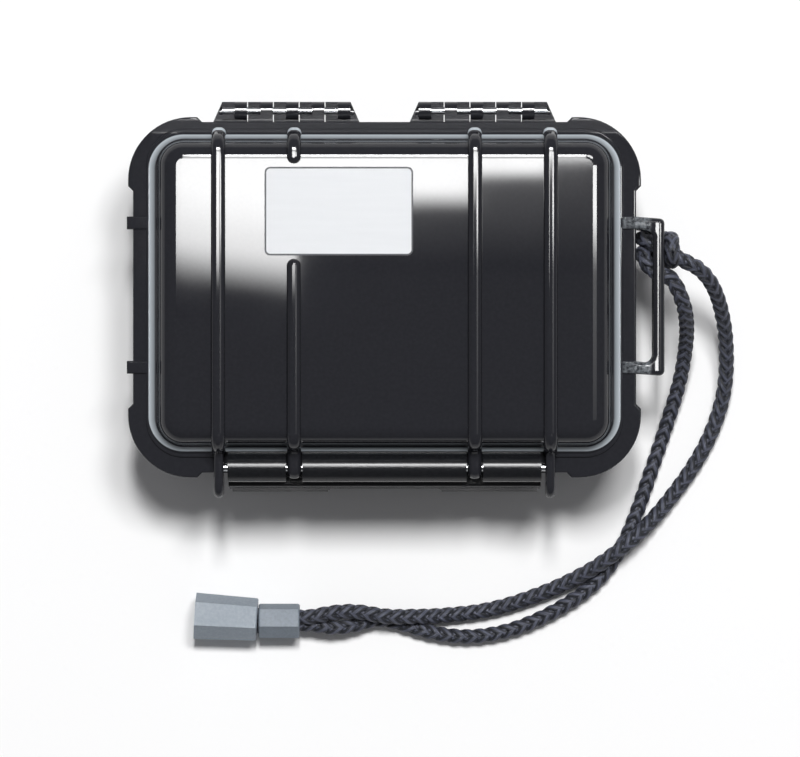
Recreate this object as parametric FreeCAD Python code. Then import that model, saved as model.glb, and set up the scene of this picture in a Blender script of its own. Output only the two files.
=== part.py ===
import FreeCAD, Part
import math
import os

V = FreeCAD.Vector

# Small hard case with a hinged lid, a full width latch and a wrist cord.
# Millimetres. X runs along the case, +Y points to the hinges, +Z is up, and
# the origin is the middle of the underside.

# Room inside and walls
INSIDE_LENGTH = 135.0
INSIDE_WIDTH = 90.0
INSIDE_CORNER_R = 6.5
PARTING_Z = 37.3
PARTING_GAP = 0.1
LINER_WALL = 1.6
LINER_FLOOR = 2.6
LINER_GAP = 0.15
BASE_WALL = 2.25
BASE_FLOOR = 2.8
BASE_DRAFT_DEG = 2.0
BASE_EDGE_R = 3.0
LINER_FLOOR_R = 2.0

# Lid
LID_WALL = 1.9
LID_HEIGHT = 14.0
LID_TOP_T = 2.8
LID_DRAFT_DEG = 12.0
LID_SHOULDER_R = 5.2
LID_INNER_R = 2.5
FOOT_OUT = 2.0
FOOT_LEAN_DEG = 52.0
FOOT_R = 2.5
PLINTH_H = 0.8
PLINTH_LEDGE = 1.1
PLINTH_EDGE_R = 0.6

# Flanges that meet at the parting plane, with thicker corner pads
FLANGE_T = 3.0
FLANGE_SIDE = 4.0
FLANGE_BACK = 2.0
FLANGE_FRONT = 4.7
FLANGE_CORNER_R = 17.0
PAD_PROUD = 1.5
PAD_RUN = 21.0
PAD_CORNER_R = 19.0
FLANGE_EDGE_R = 0.6

# Seal between the liner and the lid
LIP_OUT = 1.1
LIP_T = 1.8
TONGUE_W = 0.9
TONGUE_DEPTH = 0.7
GROOVE_CLEAR = 0.3
LIP_SQUEEZE_GAP = 0.15

# Ribs over the lid and down the base
RIB_INNER_X = 27.4
RIB_OUTER_X = 50.3
RIB_W = 4.3
RIB_PROUD = 2.5
RIB_CREST_R = 1.7
CREST_SHARE = 0.46
RIB_FOOT = 0.4
RIB_FOOT_H = 1.3
RIB_SHOULDER_R = 5.8
BASE_RIB_PROUD = 2.2
BASE_RIB_CREST_R = 1.2

# Hinges
HINGE_X = 29.9
HINGE_OUT = 3.5
KNUCKLE_COUNT = 5
KNUCKLE_L = 7.6
KNUCKLE_GAP = 0.25
KNUCKLE_R = 2.75
KNUCKLE_LIP = 0.7
HINGE_PIN_R = 1.2
HINGE_FLARE = 2.8
PIN_SEAT = 0.02
PIN_RUN = 0.07

# Latch, its pin, the lugs of the lid that carry the pin and the horns beside it
LATCH_PIN_R = 1.2
BARREL_R = 4.4
BARREL_CLEAR = 0.4
BARREL_LIFT = 0.3
FRONT_LAND = 1.3
LATCH_END_GAP = 1.2
LUG_R = 3.4
LUG_CLEAR = 0.35
SLOT_DEPTH = 8.3
PLATE_CLEAR = 0.4
PLATE_T = 2.4
LATCH_DROP = 27.0
LATCH_LIP_H = 5.0
LEDGE_OUT = 1.4
LEDGE_R = 0.8
LATCH_FLARE = 0.7
LATCH_LIP_OUT = 1.5
LATCH_EDGE_R = 0.8
NOTCH_W = 35.0
LIP_END = 0.8
HOOK_BITE = 1.7
HOOK_T = 2.2
HOOK_GAP = 0.35
HORN_T = 3.0
HORN_REACH = 9.1
HORN_RISE = 4.7
HORN_DROP = 11.8
HORN_NOSE_R = 3.5
HORN_EDGE_R = 1.2
HORN_CLEAR = 0.4
PIN_IN_HORN = 0.6

# Lugs of the short sides and the strap bars that they carry on the right
SIDE_LUG_BACK_Y = 21.3
SIDE_LUG_FRONT_Y = -22.6
SIDE_LUG_W = 3.9
SIDE_LUG_OUT = 1.8
SIDE_LUG_DROP = 4.5
BAR_R = 1.75
BAR_OUT = 6.85
BAR_SKEW = 0.7
LID_BAR_RISE = 2.9
BASE_BAR_DROP = 6.3
BAR_CORNER_R = 2.4
BAR_ELBOW_R = 1.6
BAR_ROUND_SHARE = 0.8
LUG_EDGE_R = 0.6

# Label on the lid
LABEL_L = 44.9
LABEL_W = 26.8
LABEL_T = 0.35
LABEL_CORNER_R = 1.8
LABEL_X = -13.8
LABEL_Y = 24.6
LABEL_RIB_GAP = 1.0

# Pressure valve in the left wall of the base
VALVE_Y = -0.6
VALVE_Z = 18.0
VALVE_BOSS_R = 7.6
VALVE_BOSS_OUT = 0.6
VALVE_HEAD_R = 6.2
VALVE_HEAD_T = 2.4
VALVE_EDGE_R = 0.6
VALVE_SHANK_R = 3.6
VALVE_BORE_R = 1.6
VALVE_RECESS_R = 4.4
VALVE_RECESS_T = 1.4
VALVE_FIT = 0.05
VALVE_RING_R = 4.75
VALVE_RING_SECTION_R = 0.55
VALVE_NUT_R = 5.6
VALVE_NUT_T = 1.6
VALVE_NUT_GAP = 0.25
MEMBRANE_T = 0.3
CAP_T = 0.9
CAP_VENT_R = 0.5
CAP_VENTS = 4

# Cord and the two pieces on its far end
CORD_R = 2.2
END_X = -58.7
END_Y = -100.9
END_Z = 6.9
STRAND_OUT = 2.22
KNOB_L = 19.3
KNOB_WIDE_R = 7.2
KNOB_SLIM_R = 6.6
KNOB_TILT_DEG = 3.5
KNOB_ROLL_DEG = 8.0
KNOB_SHIFT = 0.4
KNOB_BORE_R = 4.6
KNOB_BORE_DEPTH = 11.6
KNOT_L = 8.0
KNOT_R = 3.3
KNOT_ROUND_R = 2.2
SLIDER_L = 12.7
SLIDER_R = 5.4
SLIDER_ROLL_DEG = 13.0
SLIDER_GAP = 0.4
SLOT_CLEAR = 0.15
END_EDGE_R = 0.6

# One overrun for every cut, and how near counts as the same place
OVER = 1.0
NEAR = 0.01

# Places worked out from the sizes above
INSIDE_X = INSIDE_LENGTH / 2
INSIDE_Y = INSIDE_WIDTH / 2
BASE_TOP = PARTING_Z - PARTING_GAP / 2
LID_BOTTOM = PARTING_Z + PARTING_GAP / 2
BASE_UNDER = BASE_TOP - FLANGE_T
FLANGE_TOP = LID_BOTTOM + FLANGE_T
PLINTH_TOP = FLANGE_TOP + PLINTH_H
LID_TOP = PARTING_Z + LID_HEIGHT
RIB_TOP = LID_TOP + RIB_PROUD
LID_CEILING = LID_TOP - LID_TOP_T
LID_X = INSIDE_X + LID_WALL
LID_Y = INSIDE_Y + LID_WALL
PLINTH_OUT = LID_WALL + FOOT_OUT + PLINTH_LEDGE
FLANGE_X = INSIDE_X + PLINTH_OUT + FLANGE_SIDE
FLANGE_Y_BACK = INSIDE_Y + PLINTH_OUT + FLANGE_BACK
FLANGE_Y_FRONT = -(INSIDE_Y + PLINTH_OUT + FLANGE_FRONT)
RIB_FOOT_Y = INSIDE_Y + PLINTH_OUT + RIB_FOOT
RIB_FOOT_Z = FLANGE_TOP + RIB_FOOT_H
HINGE_Y = FLANGE_Y_BACK + HINGE_OUT
FRONT_CUT_Y = -(LID_Y + FRONT_LAND)
LATCH_Y = FRONT_CUT_Y - BARREL_CLEAR - BARREL_R
LATCH_Z = BASE_TOP + BARREL_R + BARREL_LIFT
HORN_INNER_X = RIB_OUTER_X - HORN_T / 2
LATCH_END_X = HORN_INNER_X - LATCH_END_GAP
BAR_X = FLANGE_X + BAR_OUT
LID_BAR_Z = LID_BOTTOM + LID_BAR_RISE
BASE_BAR_Z = BASE_TOP - BASE_BAR_DROP
LINER_X = INSIDE_X + LINER_WALL
LINER_Y = INSIDE_Y + LINER_WALL
BASE_HOLE_X = LINER_X + LINER_GAP
BASE_HOLE_Y = LINER_Y + LINER_GAP
BASE_X = BASE_HOLE_X + BASE_WALL
BASE_Y = BASE_HOLE_Y + BASE_WALL
TONGUE_OUT = (LINER_WALL + LIP_OUT) / 2
SLIDER_X = END_X + KNOB_L + SLIDER_GAP

# Route of the cord, chosen by hand: the knot on the lower strap bar, then the two
# strands down to the table and along it to the end pieces.
HITCH_ROUTE = [
    (88.4, 11.8, 34.97), (78.8, 12.2, 35.6), (78.8, 15.4, 26.2), (87.5, 16.6, 26.2),
    (87.7, 16.4, 39.4), (87.7, 7.2, 39.4), (87.5, 7.0, 26.2), (78.8, 8.2, 26.2),
    (78.8, 7.0, 35.6), (86.2, 2.5, 35.2),
]
OUTER_ROUTE = [
    (88.4, 11.8, 34.97), (93.2, 11.6, 34.655), (96.7, 9.6, 33.0), (100.2, 5.1, 29.3),
    (102.7, -3.0, 21.2), (104.7, -14.3, 11.4), (104.8, -29.4, 4.4), (100.7, -42.3, 2.4),
    (94.5, -52.8, 2.3), (88.2, -61.8, 2.4), (82.7, -69.2, 3.8), (77.7, -74.6, 7.2),
    (69.6, -80.9, 7.2), (61.9, -85.5, 4.6), (49.6, -91.5, 2.4), (32.9, -97.4, 2.3),
    (16.6, -99.5, 2.5), (7.9, -99.6, 5.95), (0.6, -99.7, 6.95), (-9.0, -97.6, 6.9),
    (-17.2, -98.68, 6.9), (-47.3, -98.68, 6.9),
]
INNER_ROUTE = [
    (86.2, 2.5, 35.2), (89.16, 0.7, 35.04), (90.7, -2.2, 33.4), (91.9, -5.8, 29.2),
    (92.5, -10.9, 21.0), (92.2, -17.2, 12.8), (90.6, -27.0, 6.4), (86.4, -40.7, 2.5),
    (81.8, -54.3, 2.3), (77.8, -67.3, 2.3), (73.5, -78.5, 2.3), (66.0, -89.1, 2.3),
    (54.3, -97.1, 2.3), (40.3, -103.3, 2.3), (26.4, -106.1, 2.3), (14.0, -104.6, 2.3),
    (5.5, -102.0, 2.3), (-2.2, -100.2, 2.3), (-10.0, -102.6, 4.7), (-17.2, -103.12, 6.9),
    (-47.3, -103.12, 6.9),
]
ARC_SHARE = 0.45
CORNER_ROOM_SHARE = 0.48


def rounded_wire(points, radii):
    """Closed outline through flat points, each corner rounded as far as its sides allow."""
    count = len(points)
    starts, ends, middles = [], [], []
    for i in range(count):
        here = points[i]
        to_last = (points[i - 1] - here)
        to_next = (points[(i + 1) % count] - here)
        turn = math.pi - to_last.getAngle(to_next)
        room = CORNER_ROOM_SHARE * min(to_last.Length, to_next.Length)
        back = min(radii[i] * math.tan(turn / 2), room)
        radius = back / math.tan(turn / 2)
        to_last.normalize()
        to_next.normalize()
        starts.append(here + to_last * back)
        ends.append(here + to_next * back)
        inward = to_last + to_next
        inward.normalize()
        middles.append(here + inward * (radius / math.cos(turn / 2) - radius))
    edges = []
    for i in range(count):
        if radii[i]:
            edges.append(Part.Arc(starts[i], middles[i], ends[i]).toShape())
        edges.append(Part.LineSegment(ends[i], starts[(i + 1) % count]).toShape())
    return Part.Wire(edges)


def rectangle(x0, x1, y0, y1, z, radius):
    corners = [V(x0, y0, z), V(x1, y0, z), V(x1, y1, z), V(x0, y1, z)]
    return rounded_wire(corners, [radius] * len(corners))


def plate(x0, x1, y0, y1, z0, z1, radius):
    return Part.Face(rectangle(x0, x1, y0, y1, z0, radius)).extrude(V(0, 0, z1 - z0))


def box(x0, x1, y0, y1, z0, z1):
    return Part.makeBox(x1 - x0, y1 - y0, z1 - z0, V(x0, y0, z0))


def rod(radius, start, end):
    return Part.makeCylinder(radius, (end - start).Length, start, end - start)


def tapered_block(half_x, half_y, radius, z_wide, z_slim, draft_deg):
    """Rounded block that narrows by a draft angle from z_wide to z_slim."""
    inset = abs(z_wide - z_slim) * math.tan(math.radians(draft_deg))
    wide = rectangle(-half_x, half_x, -half_y, half_y, z_wide, radius)
    slim_x = half_x - inset
    slim_y = half_y - inset
    slim = rectangle(-slim_x, slim_x, -slim_y, slim_y, z_slim, max(radius - inset, radius / 2))
    return Part.makeLoft([wide, slim], True, True)


def level_edges(shape, z, half_x, half_y):
    """Edges that lie in the plane at z inside a rectangle."""
    found = []
    for edge in shape.Edges:
        b = edge.BoundBox
        flat = abs(b.ZMin - z) < NEAR and abs(b.ZMax - z) < NEAR
        inside = max(-b.XMin, b.XMax) < half_x and max(-b.YMin, b.YMax) < half_y
        if flat and inside:
            found.append(edge)
    return found


def ring(out, z0, z1, width):
    """Upright band round the opening, its middle line a distance out from the inside wall."""
    bodies = []
    for grow in (out + width / 2, out - width / 2):
        x = INSIDE_X + grow
        y = INSIDE_Y + grow
        bodies.append(plate(-x, x, -y, y, z0, z1, INSIDE_CORNER_R + grow))
    return bodies[0].cut(bodies[1])


def flange_plate(z0, z1, soft_z):
    """Flat flange with a proud pad at each corner and its outer edge rounded at one height."""
    flange = plate(-FLANGE_X, FLANGE_X, FLANGE_Y_FRONT, FLANGE_Y_BACK, z0, z1, FLANGE_CORNER_R)
    x = FLANGE_X + PAD_PROUD
    y_front = FLANGE_Y_FRONT - PAD_PROUD
    y_back = FLANGE_Y_BACK + PAD_PROUD
    outline = plate(-x, x, y_front, y_back, z0, z1, PAD_CORNER_R)
    step = PAD_PROUD + OVER / 2
    pads = []
    for side in (-1, 1):
        for y, inward in ((y_front, 1), (y_back, -1)):
            corner = V(side * x, y, z0)
            along = V(-side, 0, 0)
            across = V(0, inward, 0)
            points = [
                corner,
                corner + along * PAD_RUN,
                corner + along * (PAD_RUN + step) + across * step,
                corner + along * (PAD_RUN + step) + across * (PAD_RUN + step),
                corner + along * step + across * (PAD_RUN + step),
                corner + across * PAD_RUN,
                corner,
            ]
            block = Part.Face(Part.makePolygon(points)).extrude(V(0, 0, z1 - z0))
            pads.append(block.common(outline))
    flange = flange.fuse(pads).removeSplitter()
    return flange.makeFillet(FLANGE_EDGE_R, level_edges(flange, soft_z, x + OVER, x + OVER))


def profile_slab(points, radii, x, width):
    """Slab of a width across X, cut to an outline given as places along Y and Z."""
    at = [V(x - width / 2, y, z) for y, z in points]
    return Part.Face(rounded_wire(at, radii)).extrude(V(width, 0, 0))


def soften(slab, radius, keep):
    """Round the long edges of a slab's two flat sides where keep says so."""
    edges = [e for e in slab.Edges if e.BoundBox.XLength < NEAR and keep(e.CenterOfMass)]
    return slab.makeFillet(radius, edges)


def lid_rib(x, front_points, front_radii, width):
    """Rib over the lid, from its foot behind the lid to a given front end."""
    points = [
        (RIB_FOOT_Y, LID_BOTTOM + OVER), (RIB_FOOT_Y, RIB_FOOT_Z), (LID_Y, RIB_TOP), (-LID_Y, RIB_TOP),
    ]
    radii = [0, RIB_CREST_R, RIB_SHOULDER_R, RIB_SHOULDER_R]
    slab = profile_slab(points + front_points, radii + front_radii, x, width)
    return soften(slab, min(RIB_CREST_R, CREST_SHARE * width), lambda c: c.z > FLANGE_TOP)


def pin_lug_rib(x):
    """Inner rib, whose front end is a round lug on the latch pin."""
    top = LATCH_Z + LUG_R
    bottom = LATCH_Z - LUG_R
    nose = LATCH_Y - LUG_R
    front = [(FRONT_CUT_Y, top), (nose, top), (nose, bottom), (-INSIDE_Y, bottom)]
    return lid_rib(x, front, [LUG_R, LUG_R, LUG_R, 0], RIB_W)


def horn_rib(x):
    """Outer rib, whose slimmer front end is a horn that covers the end of the latch."""
    foot = [(-RIB_FOOT_Y, RIB_FOOT_Z), (-RIB_FOOT_Y, LID_BOTTOM + OVER)]
    rib = lid_rib(x, foot, [RIB_CREST_R, 0], RIB_W)
    top = LATCH_Z + HORN_RISE
    bottom = LATCH_Z - HORN_DROP
    nose = LATCH_Y - HORN_REACH
    inner = FLANGE_Y_FRONT - HORN_CLEAR
    front = [
        (FRONT_CUT_Y, top), (nose, top), (nose, bottom), (inner, bottom),
        (inner, LID_BOTTOM), (-INSIDE_Y, LID_BOTTOM),
    ]
    radii = [LUG_R, HORN_NOSE_R, HORN_NOSE_R, HORN_EDGE_R, 0, 0]
    return rib.fuse(lid_rib(x, front, radii, HORN_T))


def hinge_parts(owner):
    """Knuckles of one half of both hinges: every other one belongs to the base."""
    knuckles = []
    span = KNUCKLE_COUNT * KNUCKLE_L + (KNUCKLE_COUNT - 1) * KNUCKLE_GAP
    for side in (-1, 1):
        for k in range(KNUCKLE_COUNT):
            if (k % 2 == 0) != (owner == "base"):
                continue
            x0 = side * HINGE_X - span / 2 + k * (KNUCKLE_L + KNUCKLE_GAP)
            last = k in (0, KNUCKLE_COUNT - 1)
            knuckles.append(knuckle(x0, x0 + KNUCKLE_L, side, owner, k if last else None))
    return knuckles


def knuckle(x0, x1, side, owner, end):
    """One knuckle: its outer half is open above the pin, its inner half open below."""
    middle = (x0 + x1) / 2
    barrel = rod(KNUCKLE_R, V(x0, HINGE_Y, PARTING_Z), V(x1, HINGE_Y, PARTING_Z))
    if owner == "lid":
        flat = box(x0, x1, HINGE_Y - KNUCKLE_R, HINGE_Y, PARTING_Z, PARTING_Z + KNUCKLE_R)
        barrel = barrel.fuse(flat)
    outer = (x0 - OVER, middle) if side < 0 else (middle, x1 + OVER)
    inner = (middle, x1 + OVER) if side < 0 else (x0 - OVER, middle)
    y0 = HINGE_Y - KNUCKLE_R - OVER
    y1 = HINGE_Y + KNUCKLE_R + OVER
    reach = KNUCKLE_R + OVER
    barrel = barrel.cut(box(*outer, y0, y1, PARTING_Z + KNUCKLE_LIP, PARTING_Z + reach))
    barrel = barrel.cut(box(*inner, y0, y1, PARTING_Z - reach, PARTING_Z - KNUCKLE_LIP))
    web_y0 = FLANGE_Y_BACK - OVER
    web_y1 = HINGE_Y - (KNUCKLE_R + HINGE_PIN_R) / 2
    z0, z1 = (BASE_UNDER, BASE_TOP) if owner == "base" else (LID_BOTTOM, PARTING_Z + KNUCKLE_R)
    body = barrel.fuse(box(x0, x1, web_y0, web_y1, z0, z1))
    if end is not None:
        out = -1 if end == 0 else 1
        edge = x0 if end == 0 else x1
        corner = [
            V(edge, web_y0, z0), V(edge + out * HINGE_FLARE, web_y0, z0),
            V(edge + out * HINGE_FLARE, FLANGE_Y_BACK, z0), V(edge, HINGE_Y + KNUCKLE_R, z0),
            V(edge, web_y0, z0),
        ]
        body = body.fuse(Part.Face(Part.makePolygon(corner)).extrude(V(0, 0, z1 - z0)))
    clearance = PIN_SEAT if owner == "base" else PIN_RUN
    ends = (V(x0 - OVER, HINGE_Y, PARTING_Z), V(x1 + OVER, HINGE_Y, PARTING_Z))
    return body.cut(rod(HINGE_PIN_R + clearance, *ends))


def hinge_pin(side):
    half = (KNUCKLE_COUNT * KNUCKLE_L + (KNUCKLE_COUNT - 1) * KNUCKLE_GAP) / 2
    middle = V(side * HINGE_X, HINGE_Y, PARTING_Z)
    return rod(HINGE_PIN_R, middle - V(half, 0, 0), middle + V(half, 0, 0))


def soft_arm(x0, x1, y, z0, z1, soft_z):
    """Arm along X whose long edges are rounded at one height."""
    half = SIDE_LUG_W / 2
    arm = box(x0, x1, y - half, y + half, z0, z1)
    edges = [e for e in arm.Edges if e.BoundBox.XLength > NEAR and abs(e.CenterOfMass.z - soft_z) < NEAR]
    return arm.makeFillet(LUG_EDGE_R, edges)


def side_lugs(z0, z1, soft_z):
    """Lugs of the left side: two short tabs across the flange."""
    tabs = []
    for y in (SIDE_LUG_BACK_Y, SIDE_LUG_FRONT_Y):
        tabs.append(soft_arm(-FLANGE_X - SIDE_LUG_OUT, -LID_X - FOOT_OUT, y, z0, z1, soft_z))
    return tabs


def strap_bar(bar_z, root_x, z0, z1, soft_z):
    """Lugs of the right side and the rounded bar that they carry, as one bent loop."""
    lugs = []
    for y in (SIDE_LUG_BACK_Y, SIDE_LUG_FRONT_Y):
        lugs.append(soft_arm(root_x, FLANGE_X, y, z0, z1, soft_z))
    half = SIDE_LUG_W / 2
    inner_x = BAR_X - BAR_R
    outer_x = BAR_X + BAR_R
    root = FLANGE_X - FLANGE_EDGE_R
    low = bar_z - BAR_R
    back = SIDE_LUG_BACK_Y
    front = SIDE_LUG_FRONT_Y
    corners = [
        V(root, back + half, low), V(outer_x, back + half - BAR_SKEW, low),
        V(outer_x, front - half - BAR_SKEW, low), V(root, front - half, low),
        V(root, front + half, low), V(inner_x, front + half - BAR_SKEW, low),
        V(inner_x, back - half - BAR_SKEW, low), V(root, back - half, low),
    ]
    radii = [0, BAR_ELBOW_R, BAR_ELBOW_R, 0, 0, BAR_CORNER_R, BAR_CORNER_R, 0]
    loop = Part.Face(rounded_wire(corners, radii)).extrude(V(0, 0, 2 * BAR_R))
    level = [e for e in loop.Edges if e.BoundBox.ZLength < NEAR]
    rims = [e for e in level if e.CenterOfMass.x > root + NEAR]
    return lugs + [loop.makeFillet(BAR_ROUND_SHARE * BAR_R, rims)]


def lid_shell():
    plinth_x = INSIDE_X + PLINTH_OUT
    plinth_y = INSIDE_Y + PLINTH_OUT
    corner = INSIDE_CORNER_R + PLINTH_OUT
    plinth = plate(-plinth_x, plinth_x, -plinth_y, plinth_y, LID_BOTTOM, PLINTH_TOP, corner)
    plinth = plinth.makeFillet(PLINTH_EDGE_R, level_edges(plinth, PLINTH_TOP, FLANGE_X, FLANGE_X))
    wall = tapered_block(LID_X, LID_Y, INSIDE_CORNER_R + LID_WALL, PLINTH_TOP, LID_TOP, LID_DRAFT_DEG)
    lean = math.tan(math.radians(LID_DRAFT_DEG))
    rise = FOOT_OUT / (math.tan(math.radians(FOOT_LEAN_DEG)) - lean)
    foot_x = LID_X + FOOT_OUT
    foot_y = LID_Y + FOOT_OUT
    foot_corner = INSIDE_CORNER_R + LID_WALL + FOOT_OUT
    foot = tapered_block(
        foot_x, foot_y, foot_corner, PLINTH_TOP, PLINTH_TOP + rise, FOOT_LEAN_DEG
    )
    body = wall.fuse(foot).removeSplitter()
    crease = level_edges(body, PLINTH_TOP + rise, foot_x, foot_y)
    body = body.makeFillet(FOOT_R, crease).fuse(plinth).removeSplitter()
    body = body.makeFillet(LID_SHOULDER_R, level_edges(body, LID_TOP, LID_X, LID_Y))
    body = body.fuse(flange_plate(LID_BOTTOM, FLANGE_TOP, FLANGE_TOP))
    front = box(
        -HORN_INNER_X, HORN_INNER_X, FLANGE_Y_FRONT - OVER, FRONT_CUT_Y, LID_BOTTOM - OVER, LID_TOP
    )
    body = body.cut(front)
    ribs = [pin_lug_rib(side * RIB_INNER_X) for side in (-1, 1)]
    ribs[0] = ribs[0].cut(label_gap())
    ribs += [horn_rib(side * RIB_OUTER_X) for side in (-1, 1)]
    body = body.fuse(ribs + side_lugs(LID_BOTTOM, PLINTH_TOP, PLINTH_TOP))
    body = body.fuse(strap_bar(LID_BAR_Z, LID_X + FOOT_OUT, LID_BOTTOM, PLINTH_TOP, PLINTH_TOP))
    hole = tapered_block(INSIDE_X, INSIDE_Y, INSIDE_CORNER_R, LID_BOTTOM, LID_CEILING, LID_DRAFT_DEG)
    hole = hole.makeFillet(LID_INNER_R, level_edges(hole, LID_CEILING, INSIDE_X, INSIDE_Y))
    skirt = plate(-INSIDE_X, INSIDE_X, -INSIDE_Y, INSIDE_Y, LID_BOTTOM - OVER, LID_BOTTOM, INSIDE_CORNER_R)
    body = body.cut(hole.fuse(skirt))
    body = body.fuse(ring(TONGUE_OUT, LID_BOTTOM - TONGUE_DEPTH, LID_BOTTOM, TONGUE_W))
    body = body.fuse(hinge_parts("lid"))
    seat = RIB_OUTER_X + PIN_IN_HORN + PIN_RUN
    pin_hole = rod(LATCH_PIN_R + PIN_SEAT, V(-seat, LATCH_Y, LATCH_Z), V(seat, LATCH_Y, LATCH_Z))
    return body.cut(pin_hole).removeSplitter()


def label_gap():
    """Gap in the left inner rib that makes room for the label and leaves round rib ends."""
    radius = RIB_W / 2
    y0 = LABEL_Y - LABEL_W / 2 - LABEL_RIB_GAP - radius
    y1 = LABEL_Y + LABEL_W / 2 + LABEL_RIB_GAP + radius
    side = radius + OVER
    gap = box(-RIB_INNER_X - side, -RIB_INNER_X + side, y0, y1, LID_TOP, RIB_TOP + OVER)
    for y in (y0, y1):
        rib_end = rod(radius, V(-RIB_INNER_X, y, LID_TOP - OVER), V(-RIB_INNER_X, y, RIB_TOP))
        crest = [e for e in rib_end.Edges if e.BoundBox.ZMin > LID_TOP]
        gap = gap.cut(rib_end.makeFillet(RIB_CREST_R, crest))
    return gap


def base_ribs():
    """Upright ribs on the front and back walls, in line with those of the lid."""
    top_y = BASE_Y + BASE_RIB_PROUD
    inset = BASE_TOP * math.tan(math.radians(BASE_DRAFT_DEG))
    low_y = BASE_Y - inset
    points = [
        (-top_y, BASE_UNDER), (-top_y + inset, BASE_EDGE_R), (-low_y + BASE_EDGE_R, 0),
        (low_y - BASE_EDGE_R, 0), (top_y - inset, BASE_EDGE_R), (top_y, BASE_UNDER),
    ]
    radii = [0, BASE_EDGE_R, 0, 0, BASE_EDGE_R, 0]
    ribs = []
    for x in (-RIB_OUTER_X, -RIB_INNER_X, RIB_INNER_X, RIB_OUTER_X):
        slab = profile_slab(points, radii, x, RIB_W)
        ribs.append(soften(slab, BASE_RIB_CREST_R, lambda c: abs(c.y) > low_y - BASE_EDGE_R))
    return ribs


def valve_axis(x):
    return V(-x, VALVE_Y, VALVE_Z)


VALVE_SEAT_X = BASE_X + VALVE_BOSS_OUT
VALVE_WALL_X = BASE_HOLE_X - (BASE_TOP - VALVE_Z) * math.tan(math.radians(BASE_DRAFT_DEG))
VALVE_NUT_X = VALVE_WALL_X - VALVE_NUT_GAP
VALVE_END_X = VALVE_NUT_X - VALVE_NUT_T


def base_shell():
    corner = INSIDE_CORNER_R + LINER_WALL + LINER_GAP
    body = tapered_block(BASE_X, BASE_Y, corner + BASE_WALL, BASE_TOP, 0, BASE_DRAFT_DEG)
    body = body.makeFillet(BASE_EDGE_R, level_edges(body, 0, BASE_X, BASE_Y))
    body = body.fuse(flange_plate(BASE_UNDER, BASE_TOP, BASE_UNDER))
    boss = rod(VALVE_BOSS_R, valve_axis(VALVE_SEAT_X), valve_axis(VALVE_WALL_X))
    lug_z = BASE_TOP - SIDE_LUG_DROP
    body = body.fuse(base_ribs() + [boss] + side_lugs(lug_z, BASE_TOP, lug_z))
    arm_z = BASE_BAR_Z - BAR_R
    body = body.fuse(strap_bar(BASE_BAR_Z, BASE_X - BASE_WALL / 2, arm_z, BASE_TOP, arm_z))
    hole = tapered_block(BASE_HOLE_X, BASE_HOLE_Y, corner, BASE_TOP, BASE_FLOOR, BASE_DRAFT_DEG)
    hole = hole.makeFillet(LINER_FLOOR_R, level_edges(hole, BASE_FLOOR, BASE_HOLE_X, BASE_HOLE_Y))
    lip_x = LINER_X + LIP_OUT + LINER_GAP
    lip_y = LINER_Y + LIP_OUT + LINER_GAP
    lip_z = BASE_TOP - LIP_T - LIP_SQUEEZE_GAP - LINER_GAP
    recess = plate(-lip_x, lip_x, -lip_y, lip_y, lip_z, BASE_TOP + OVER, corner + LIP_OUT)
    body = body.cut(hole.fuse(recess))
    body = body.fuse(hinge_parts("base"))
    shank = rod(VALVE_SHANK_R + VALVE_FIT, valve_axis(VALVE_SEAT_X + OVER), valve_axis(VALVE_END_X))
    groove_depth = 2 * VALVE_RING_SECTION_R + VALVE_FIT
    groove_end = VALVE_SEAT_X - groove_depth
    wide = VALVE_RING_R + VALVE_RING_SECTION_R + VALVE_FIT
    groove = rod(wide, valve_axis(VALVE_SEAT_X + OVER), valve_axis(groove_end))
    island = rod(
        VALVE_RING_R - VALVE_RING_SECTION_R - VALVE_FIT,
        valve_axis(VALVE_SEAT_X + OVER), valve_axis(groove_end),
    )
    return body.cut([shank, groove.cut(island)]).removeSplitter()


def base_liner():
    corner = INSIDE_CORNER_R + LINER_WALL
    floor_z = BASE_FLOOR + LINER_GAP
    rim_z = BASE_TOP - LIP_SQUEEZE_GAP
    body = tapered_block(LINER_X, LINER_Y, corner, rim_z, floor_z, BASE_DRAFT_DEG)
    body = body.makeFillet(LINER_FLOOR_R, level_edges(body, floor_z, LINER_X, LINER_Y))
    lip_x = LINER_X + LIP_OUT
    lip_y = LINER_Y + LIP_OUT
    lip = plate(-lip_x, lip_x, -lip_y, lip_y, rim_z - LIP_T, rim_z, corner + LIP_OUT)
    hole = tapered_block(
        INSIDE_X, INSIDE_Y, INSIDE_CORNER_R, rim_z, floor_z + LINER_FLOOR, BASE_DRAFT_DEG
    )
    low = floor_z + LINER_FLOOR
    hole = hole.makeFillet(LINER_FLOOR_R, level_edges(hole, low, INSIDE_X, INSIDE_Y))
    groove_z = LID_BOTTOM - TONGUE_DEPTH - GROOVE_CLEAR
    groove = ring(TONGUE_OUT, groove_z, rim_z + OVER, TONGUE_W + 2 * GROOVE_CLEAR)
    way = rod(VALVE_NUT_R + LINER_WALL / 2, valve_axis(BASE_X), valve_axis(INSIDE_X / 2))
    return body.fuse(lip).cut([hole, groove, way]).removeSplitter()


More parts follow.
